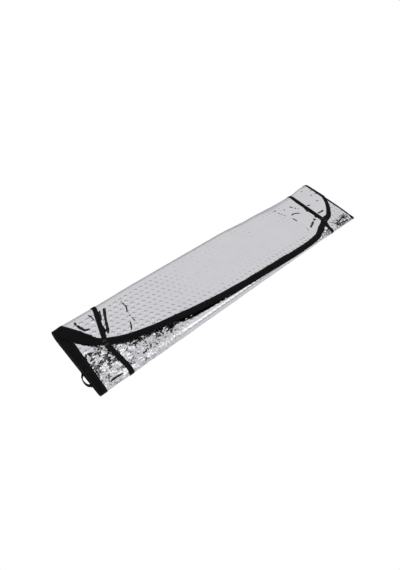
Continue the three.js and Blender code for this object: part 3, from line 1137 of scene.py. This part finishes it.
class Graph:
    """Node tree of one material or world."""

    def __init__(self, tree: bpy.types.NodeTree) -> None:
        """Start from an empty tree."""
        self.tree = tree
        tree.nodes.clear()

    def node(
        self,
        kind: str,
        settings: dict[str, object] | None = None,
        *inputs: "Wire | float | tuple[float, ...] | None",
        out: int | str = 0,
        **named: "Wire | float | tuple[float, ...]",
    ) -> Wire:
        """Add a node.

        Args:
            kind: Blender's name for the node's type.
            settings: Its properties.
            *inputs: Values or wires for its sockets, in order; None leaves one as it is.
            out: Output to give back.
            **named: Values or wires for sockets by name, with _ for a space.

        Returns:
            The chosen output.
        """
        made = self.tree.nodes.new(kind)
        for key, value in (settings or {}).items():
            setattr(made, key, value)
        pairs = [(made.inputs[k], value) for k, value in enumerate(inputs) if value is not None]
        pairs += [(made.inputs[key.replace("_", " ")], value) for key, value in named.items()]
        for socket, value in pairs:
            if isinstance(value, Wire):
                self.tree.links.new(value.socket, socket)
            else:
                socket.default_value = value
        return Wire(self, made.outputs[out] if made.outputs else None)

    def split(self, vector: Wire) -> tuple[Wire, Wire, Wire]:
        """The three parts of a vector."""
        first = self.node("ShaderNodeSeparateXYZ", {}, vector)
        return tuple(Wire(self, first.socket.node.outputs[k]) for k in range(3))

    def cloth(self) -> tuple[Wire, Wire, Wire]:
        """Place on the flat cloth in metres: the vector, along and across."""
        vector = self.node("ShaderNodeUVMap", {"uv_map": "cloth"})
        along, across, _ = self.split(vector)
        return vector, along, across

    def noise(self, vector: Wire, scale: float, detail: float = 2.0, rough: float = 0.5) -> Wire:
        """Noise from 0 to 1."""
        return self.node(
            "ShaderNodeTexNoise", {}, Vector=vector, Scale=scale, Detail=detail, Roughness=rough
        )

    def strayed(self, vector: Wire, scale: float, reach: float) -> Wire:
        """The place moved by noise of that scale, up to half the reach each way."""
        moved = {"Vector": vector, "Scale": scale, "Detail": 1.0}
        stray = self.node("ShaderNodeTexNoise", {}, out="Color", **moved)
        settings = {"operation": "MULTIPLY_ADD"}
        return self.node("ShaderNodeVectorMath", settings, stray, (reach, reach, 0.0), vector)

    def facets(self, vector: Wire, scale: float) -> Wire:
        """Height, in metres, of small flat facets that each tilt their own way.

        Args:
            vector: Place on the cloth.
            scale: Facets in a metre.

        Returns:
            The height, with slopes up to a half.
        """
        flat = {"voronoi_dimensions": "2D"}
        cell = self.node("ShaderNodeTexVoronoi", flat, Vector=vector, Scale=scale, out="Color")
        centre = Wire(self, cell.socket.node.outputs["Position"])
        x, y, _ = self.split(vector)
        cx, cy, _ = self.split(centre)
        tilt_x, tilt_y, _ = self.split(cell)
        return (tilt_x - 0.5) * (x - cx) + (tilt_y - 0.5) * (y - cy)

    def blend(self, amount: Wire, low: Colour, high: Colour) -> Wire:
        """Colour between low and high."""
        made = self.tree.nodes.new("ShaderNodeMix")
        made.data_type = "RGBA"
        self.tree.links.new(amount.socket, made.inputs["Factor"])
        colours = [k for k in made.inputs if k.type == "RGBA"]
        colours[0].default_value, colours[1].default_value = (*low, 1), (*high, 1)
        result = next(k for k in made.outputs if k.type == "RGBA")
        return Wire(self, result)

    def bump(self, height: Wire, depth: float, strength: float = 1.0) -> Wire:
        """Normal of a surface with that height, depth metres from 0 to 1."""
        return self.node("ShaderNodeBump", {}, Height=height, Distance=depth, Strength=strength)

    def surface(self, **sockets: "Wire | float | tuple[float, ...]") -> None:
        """Finish the tree with a Principled shader."""
        shader = self.node("ShaderNodeBsdfPrincipled", {}, **sockets)
        self.node("ShaderNodeOutputMaterial", {}, shader)


def new_material(name: str) -> tuple[Material, Graph]:
    """An empty material and its graph."""
    material = bpy.data.materials.new(name)
    material.use_nodes = True
    return material, Graph(material.node_tree)


@dataclass(frozen=True)
class BubbleFoil:
    """Silver foil over a film of bubbles in staggered rows, with painted shade along its creases.
    """

    pitch: float = 0.011
    row: float = 0.0103
    bubble: float = 0.0032
    rim: float = 0.0012
    depth: float = 0.0005
    bright: Colour = (0.85, 0.85, 0.875)
    # Near-black colour painted along the creases as shade
    painted_crease_black: Colour = (0.012, 0.012, 0.013)
    roughness: float = 0.09
    dull: float = 0.4
    crumple: float = 2.8

    def build(self) -> Material:
        """The material, in the cloth's own coordinates."""
        material, g = new_material("bubble_foil")
        vector, along, across = g.cloth()
        marks = g.node("ShaderNodeAttribute", {"attribute_name": "marks"}, out="Color")
        puffed = Wire(g, marks.socket.node.outputs["Alpha"])
        # The first channel is how far painted shade darkens the foil along its creases
        creased, crumpled, dulled = g.split(marks)
        domes = self.domes(g, vector, along, across)
        wrinkle = g.noise(vector, 260, 3, 0.6)
        large = g.facets(g.strayed(vector, 80, 0.005), 170)
        facets = large + g.facets(g.strayed(vector, 160, 0.002), 360) * 0.8
        height = domes * puffed * self.depth + wrinkle * (0.00006 + 0.0002 * crumpled)
        height = height + facets * crumpled * self.crumple
        tone = g.noise(vector, 34, 4, 0.55)
        # Painted shade: the base colour turns near-black along the creases, with ragged edges
        ragged_crease_shade = creased + (g.noise(vector, 420, 2, 0.6) - 0.5) * 0.7 * creased
        # worn is mostly this painted crease shade, with a little random tone
        worn = (tone.ramp(0.35, 0.75) * 0.03 + ragged_crease_shade.ramp(0.26, 0.5) * 0.97).low(1.0)
        g.surface(
            Base_Color=g.blend(worn, self.bright, self.painted_crease_black),
            Metallic=1.0,
            Roughness=self.roughness + 0.03 * tone + 0.08 * crumpled + self.dull * dulled,
            Normal=g.bump(height, 1.0),
        )
        return material

    def domes(self, g: Graph, vector: Wire, along: Wire, across: Wire) -> Wire:
        """Height of the bubbles, from 0 between them to 1 on top."""
        sag = g.noise(vector, 90, 1)
        best = None
        for shift in (0.0, 0.5):
            a = along / self.pitch + shift
            b = across / (2 * self.row) + shift
            da = (a - a.maths("ROUND")) * self.pitch
            db = (b - b.maths("ROUND")) * (2 * self.row)
            near = da * da + db * db
            best = near if best is None else best.low(near)
        dome = best.ramp(self.bubble**2, (self.bubble - self.rim) ** 2)
        return (dome * 0.8 + (1 - best / self.bubble**2).high(0.0) * 0.2) * (0.3 + 1.3 * sag)


@dataclass(frozen=True)
class WovenTape:
    """Black tape of plain weave with a selvedge and a fuzzy sheen."""

    thread: float = 0.00075
    colour: Colour = (0.0022, 0.0021, 0.0022)
    worn: Colour = (0.0065, 0.0062, 0.0065)
    depth: float = 0.00022

    def build(self) -> Material:
        """The material, in the tape's own coordinates."""
        material, g = new_material("woven_tape")
        vector, along, across = g.cloth()
        turn = 2 * math.pi / self.thread
        warp = (along * turn).maths("SINE")
        weft = (across * turn).maths("SINE")
        weave = (warp * weft) * 0.5 + 0.5
        fuzz = g.noise(vector, 2600, 2, 0.6)
        slack = g.noise(vector, 120, 2, 0.5)
        height = weave * 0.7 + fuzz * 0.35 + slack * 1.6
        wear = (slack.ramp(0.45, 0.8) * 0.6 + fuzz * weave * 0.4).low(1.0)
        g.surface(
            Base_Color=g.blend(wear, self.colour, self.worn),
            Roughness=0.78 + 0.16 * fuzz,
            Specular_IOR_Level=0.12,
            Sheen_Weight=0.02,
            Sheen_Roughness=0.5,
            Normal=g.bump(height, self.depth, 0.8),
        )
        return material


@dataclass(frozen=True)
class RibbedElastic:
    """Black elastic with rubber cords along it and short thread wraps across."""

    cord: float = 0.0011
    wrap: float = 0.0008
    depth: float = 0.00028
    colour: Colour = (0.003, 0.003, 0.0032)
    crest: Colour = (0.009, 0.009, 0.0095)
    name: str = "ribbed_elastic"

    def build(self) -> Material:
        """The material, in the band's own coordinates."""
        material, g = new_material(self.name)
        vector, along, across = g.cloth()
        cords = (across * (2 * math.pi / self.cord)).maths("COSINE") * 0.5 + 0.5
        wraps = (along * (2 * math.pi / self.wrap)).maths("SINE") * 0.5 + 0.5
        fuzz = g.noise(vector, 2200, 2, 0.6)
        stretch = g.noise(vector, 60, 2, 0.5)
        height = cords + 0.35 * wraps * cords + 0.3 * fuzz
        wear = (cords * (0.25 + 0.5 * fuzz) * (0.6 + 0.6 * stretch)).low(1.0)
        g.surface(
            Base_Color=g.blend(wear, self.colour, self.crest),
            Roughness=0.68 + 0.2 * fuzz,
            Specular_IOR_Level=0.15,
            Normal=g.bump(height, self.depth, 0.9),
        )
        return material


@dataclass(frozen=True)
class TwistedThread:
    """Black polyester sewing thread, low in gloss, with a painted highlight along its twist."""

    colour: Colour = (0.009, 0.009, 0.01)
    # Lighter colour painted along the twist as a highlight
    painted_twist_highlight: Colour = (0.03, 0.03, 0.032)
    ply: float = 0.0005
    depth: float = 0.00008

    def build(self) -> Material:
        """The material, in the object's coordinates."""
        material, g = new_material("twisted_thread")
        vector = g.node("ShaderNodeTexCoord", {}, out="Object")
        x, y, z = g.split(vector)
        slant = x + y * 0.8 + z * 1.3
        twist = (slant * (2 * math.pi / self.ply)).maths("SINE") * 0.5 + 0.5
        # Painted highlight: the colour lightens along the twist's crests
        g.surface(
            Base_Color=g.blend(twist, self.colour, self.painted_twist_highlight),
            Roughness=0.5 + 0.2 * twist,
            Normal=g.bump(twist, self.depth, 0.8),
        )
        return material


# Studio


@dataclass
class Studio:
    """Pale floor, soft lights and the camera at the photo's angle."""

    eye: tuple[float, float, float] = (-0.4224, -0.3883, 0.53676)
    yaw: float = 41.956
    pitch: float = 45.54
    focal: float = 395.18
    tall: float = 570.0
    bright: float = 0.72
    lamp: float = 1.3
    floor_half: float = 6.0
    floor_level: float = -0.0005

    def camera(self) -> Piece:
        """The camera, made the scene's own."""
        data = bpy.data.cameras.new("camera")
        data.sensor_width = 36
        data.lens = self.focal / self.tall * 36
        data.clip_start, data.clip_end = 0.01, 20
        camera = bpy.data.objects.new("camera", data)
        bpy.context.scene.collection.objects.link(camera)
        yaw, pitch = math.radians(self.yaw), math.radians(self.pitch)
        look = Vector(
            (math.sin(yaw) * math.cos(pitch), math.cos(yaw) * math.cos(pitch), -math.sin(pitch))
        )
        turn = look.to_track_quat("-Z", "Y").to_matrix().to_4x4()
        camera.matrix_world = Matrix.Translation(self.eye) @ turn
        bpy.context.scene.camera = camera
        return camera

    def floor(self) -> Piece:
        """A pale floor that the camera sees as plain white."""
        material, g = new_material("floor")
        pale = g.node("ShaderNodeBsdfDiffuse", {}, Color=(0.86, 0.86, 0.86, 1))
        white = g.node("ShaderNodeEmission", {}, Color=(1, 1, 1, 1), Strength=1.0)
        seen = g.node("ShaderNodeLightPath", {}, out="Is Camera Ray")
        g.node("ShaderNodeOutputMaterial", {}, g.node("ShaderNodeMixShader", {}, seen, pale, white))
        mesh = bpy.data.meshes.new("floor")
        a = self.floor_half
        mesh.from_pydata([(-a, -a, 0), (a, -a, 0), (a, a, 0), (-a, a, 0)], [], [(0, 1, 2, 3)])
        mesh.materials.append(material)
        floor = bpy.data.objects.new("floor", mesh)
        bpy.context.scene.collection.objects.link(floor)
        floor.location.z = self.floor_level
        return floor

    def world(self) -> None:
        """Soft light all round, brighter in a broad lamp behind the camera, which sees white."""
        world = bpy.data.worlds.new("studio")
        world.use_nodes = True
        g = Graph(world.node_tree)
        x, y, height = g.split(g.node("ShaderNodeTexCoord", {}, out="Generated"))
        yaw = math.radians(self.yaw)
        away = x * math.sin(yaw) + y * math.cos(yaw)
        ahead = away.ramp(-0.2, 0.3)
        near = height.ramp(0.06, 0.2)
        far = height.ramp(0.27, 0.42)
        walls = (near + ahead * (far - near)) * 0.97 + 0.03
        lit = height.ramp(0.35, 0.55) * height.ramp(0.96, 0.88) * away.ramp(0.05, -0.15)
        strength = walls * (self.bright + lit * (self.lamp - self.bright))
        even = g.node("ShaderNodeBackground", {}, (0.99, 0.985, 1.0, 1), strength)
        white = g.node("ShaderNodeBackground", {}, (1, 1, 1, 1), 1.0)
        seen = g.node("ShaderNodeLightPath", {}, out="Is Camera Ray")
        g.node("ShaderNodeOutputWorld", {}, g.node("ShaderNodeMixShader", {}, seen, even, white))
        bpy.context.scene.world = world

    def build(self) -> None:
        """Put everything in place."""
        scene = bpy.context.scene
        scene.view_settings.view_transform = "Standard"
        self.world()
        self.floor()
        self.camera()


def photo_creases() -> tuple[Crease, ...]:
    """The creases that show.

    Each row holds points of x and y on the packet, the height, the width, and how far the
    crease is broken and how far painted shade blackens its crest.
    """
    flap = (
        (((-299, 63), (-300, 53), (-298, 41), (-295, 33), (-286, 29)), 2.2, 3.4, 0.2),
        (((-304, 40), (-300, 26), (-292, 13)), 2.4, 4.0, 0, 0),
        (((-275, 60), (-273, 52), (-273, 41)), 1.2, 1.9, 0.2),
        (((-277, 54), (-277, 38)), 1.8, 3.2, 0, 0),
        (((-245, 56), (-253, 41), (-261, 24), (-265, 14), (-272, 0)), 2.6, 3.8, 0.1),
        (((-268, 24), (-272, 8)), 1.6, 3.0, 0.2),
        (((-251, 64), (-258, 49), (-264, 33)), 1.5, 2.8, 0.4),
        (((-216, 54), (-216, 31), (-221, 21), (-222, 10), (-223, -12)), 1.2, 1.7, 0.35),
        (((-230, 1), (-233, -8), (-239, -17)), 1.3, 2.0, 0.1),
        (((-138, 18), (-120, -13), (-100, -46)), 0.45, 2.2, 0.8, 0.4),
        (((200, 44), (202, 33), (205, 22)), 0.7, 1.5, 0.6, 0.7),
        (((209, 8), (209, -5)), 1.2, 1.9, 0.4),
        (((208, -21), (202, -40), (188, -51)), 0.5, 1.6, 0.5, 0.4),
        (((238, 46), (246, 30), (251, 21)), 1.0, 1.8, 0.7),
        (((216, 17), (226, 18), (232, 15), (240, 10)), 1.6, 2.1, 0.1),
        (((197, 52), (202, 50)), 0.9, 1.8, 0, 0.8),
        (((219, 43), (223, 40)), 0.8, 1.6, 0, 0.8),
        (((266, -17), (243, -26), (224, -34), (209, -40)), 2.0, 3.6, 0.5, 0.8),
        (((270, -16), (282, -16), (293, -17)), 1.8, 3.2, 0.2),
        (((276, 19), (285, 16)), 1.0, 2.4, 0.4),
        (((262, 14), (256, 2)), 1.4, 2.8, 0.2),
        (((322, 48), (326, 45)), 0.8, 1.6),
        (((322, 34), (326, 30)), 0.8, 1.8),
        (((309, 36), (313, 33)), 0.8, 1.7),
        (((304, 16), (309, 11)), 0.7, 1.5),
        (((303, 60), (307, 57)), 0.6, 1.4),
    )
    under = (
        (((-315, -71), (-306, -70), (-296, -70), (-289, -71)), -1.6, 2.3, 0.1),
        (((-273, -68), (-267, -68), (-259, -69), (-249, -70)), -1.5, 2.2, 0.3),
        (((-268, -20), (-261, -33), (-250, -50)), 2.4, 3.8, 0, 0),
        (((-267, -40), (-259, -58)), 2.0, 3.4, 0, 0),
        (((-300, -44), (-302, -62)), 2.0, 3.4, 0, 0),
        (((-297, -47), (-284, -48)), 2.2, 4.0, 0, 0),
        (((-320, -27), (-319, -39), (-317, -54)), 2.2, 3.6, 0, 0),
        (((264, -54), (274, -63), (287, -62), (307, -59), (322, -65)), 2.0, 2.6, 0.3),
        (((275, -68), (298, -70), (316, -72)), 1.6, 2.6, 0.5),
        (((212, -68), (230, -66), (243, -64)), 1.6, 2.4, 0.4),
    )
    rows = [(Turn.FLAP, row) for row in flap] + [(Turn.UNDER, row) for row in under]
    return tuple(Crease(turn, *row) for turn, row in rows)


def photo_crumples() -> tuple[Crumple, ...]:
    """The crumpled patches that show."""
    under = Turn.UNDER
    return (
        Crumple(under, (-312, -28), 34, 0.56),
        Crumple(under, (-290, -50), 60, 0.34),
        Crumple(under, (-225, -60), 70, 0.2),
        Crumple(under, (284, -74), 22, 0.9),
        Crumple(under, (314, -75), 28, 1.0),
        Crumple(under, (232, -74), 22, 0.9),
    )


def build_object() -> None:
    """Make every piece of the sunshade, in order."""
    roll = Roll()
    e, f = roll.end, roll.front
    runs = (
        StrapRun(-e + 75, (-e + 51, f + 55), -e + 54),
        StrapRun(e - 59, (e - 75, f + 25), e - 90),
    )
    gathers = (
        Gather(runs[0].seam, 44, 15, 0.4, 71),
        Gather(runs[1].seam, 50, 15, 0.35, 83),
    )
    relief = Relief(roll, runs, photo_creases(), photo_crumples(), gathers)
    roll.relief = relief.at

    tape = WovenTape().build()
    elastic = RibbedElastic().build()
    thread = TwistedThread().build()

    sheet = FoilSheet(roll, relief)
    foil = sheet.build(BubbleFoil().build())
    width, length, area = sheet.flat_size()
    dress(foil, "foil", "foil_sheet")
    LOG.info("foil sheet, cut %.0f by %.0f mm", width * 1000, length * 1000)

    binding = EdgeBinding(roll)
    dress(binding.build(tape), "binding", "edge_binding")
    LOG.info("edge binding")

    straps = (
        Strap("strap_left_band", roll, runs[0]),
        Strap("strap_right_band", roll, runs[1], pinched=0.25),
    )
    for strap, node in zip(straps, ("strap_left", "strap_right")):
        dress(strap.build(elastic), "elastic", node)
        LOG.info("%s, %.0f mm round", node, strap.length() * 1000)

    dress(HangingLoop(roll).build(RibbedElastic(name="ribbon").build()), "ribbon", "hanging_loop")
    LOG.info("hanging loop")

    stitches = Stitching("binding_stitches")
    sew_binding(roll, binding, stitches)
    dress(stitches.build(thread), "binding")
    bars = Stitching("strap_stitches", radius=0.26)
    for strap in straps:
        sew_strap(strap, bars)
    dress(bars.build(thread), "elastic")
    LOG.info("stitching")


def dress(piece: Piece, slot: str, *nodes: str) -> None:
    """Let a piece ride on the object and hide the CAD parts of its nodes."""
    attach(piece, "root")
    if nodes:
        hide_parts(*nodes)


def main() -> None:
    """Build the object, then its studio, and note the sizes."""
    logging.basicConfig(level=logging.INFO, format="%(name)s: %(message)s")
    build_object()
    Studio().build()


if __name__ == "__main__":
    main()
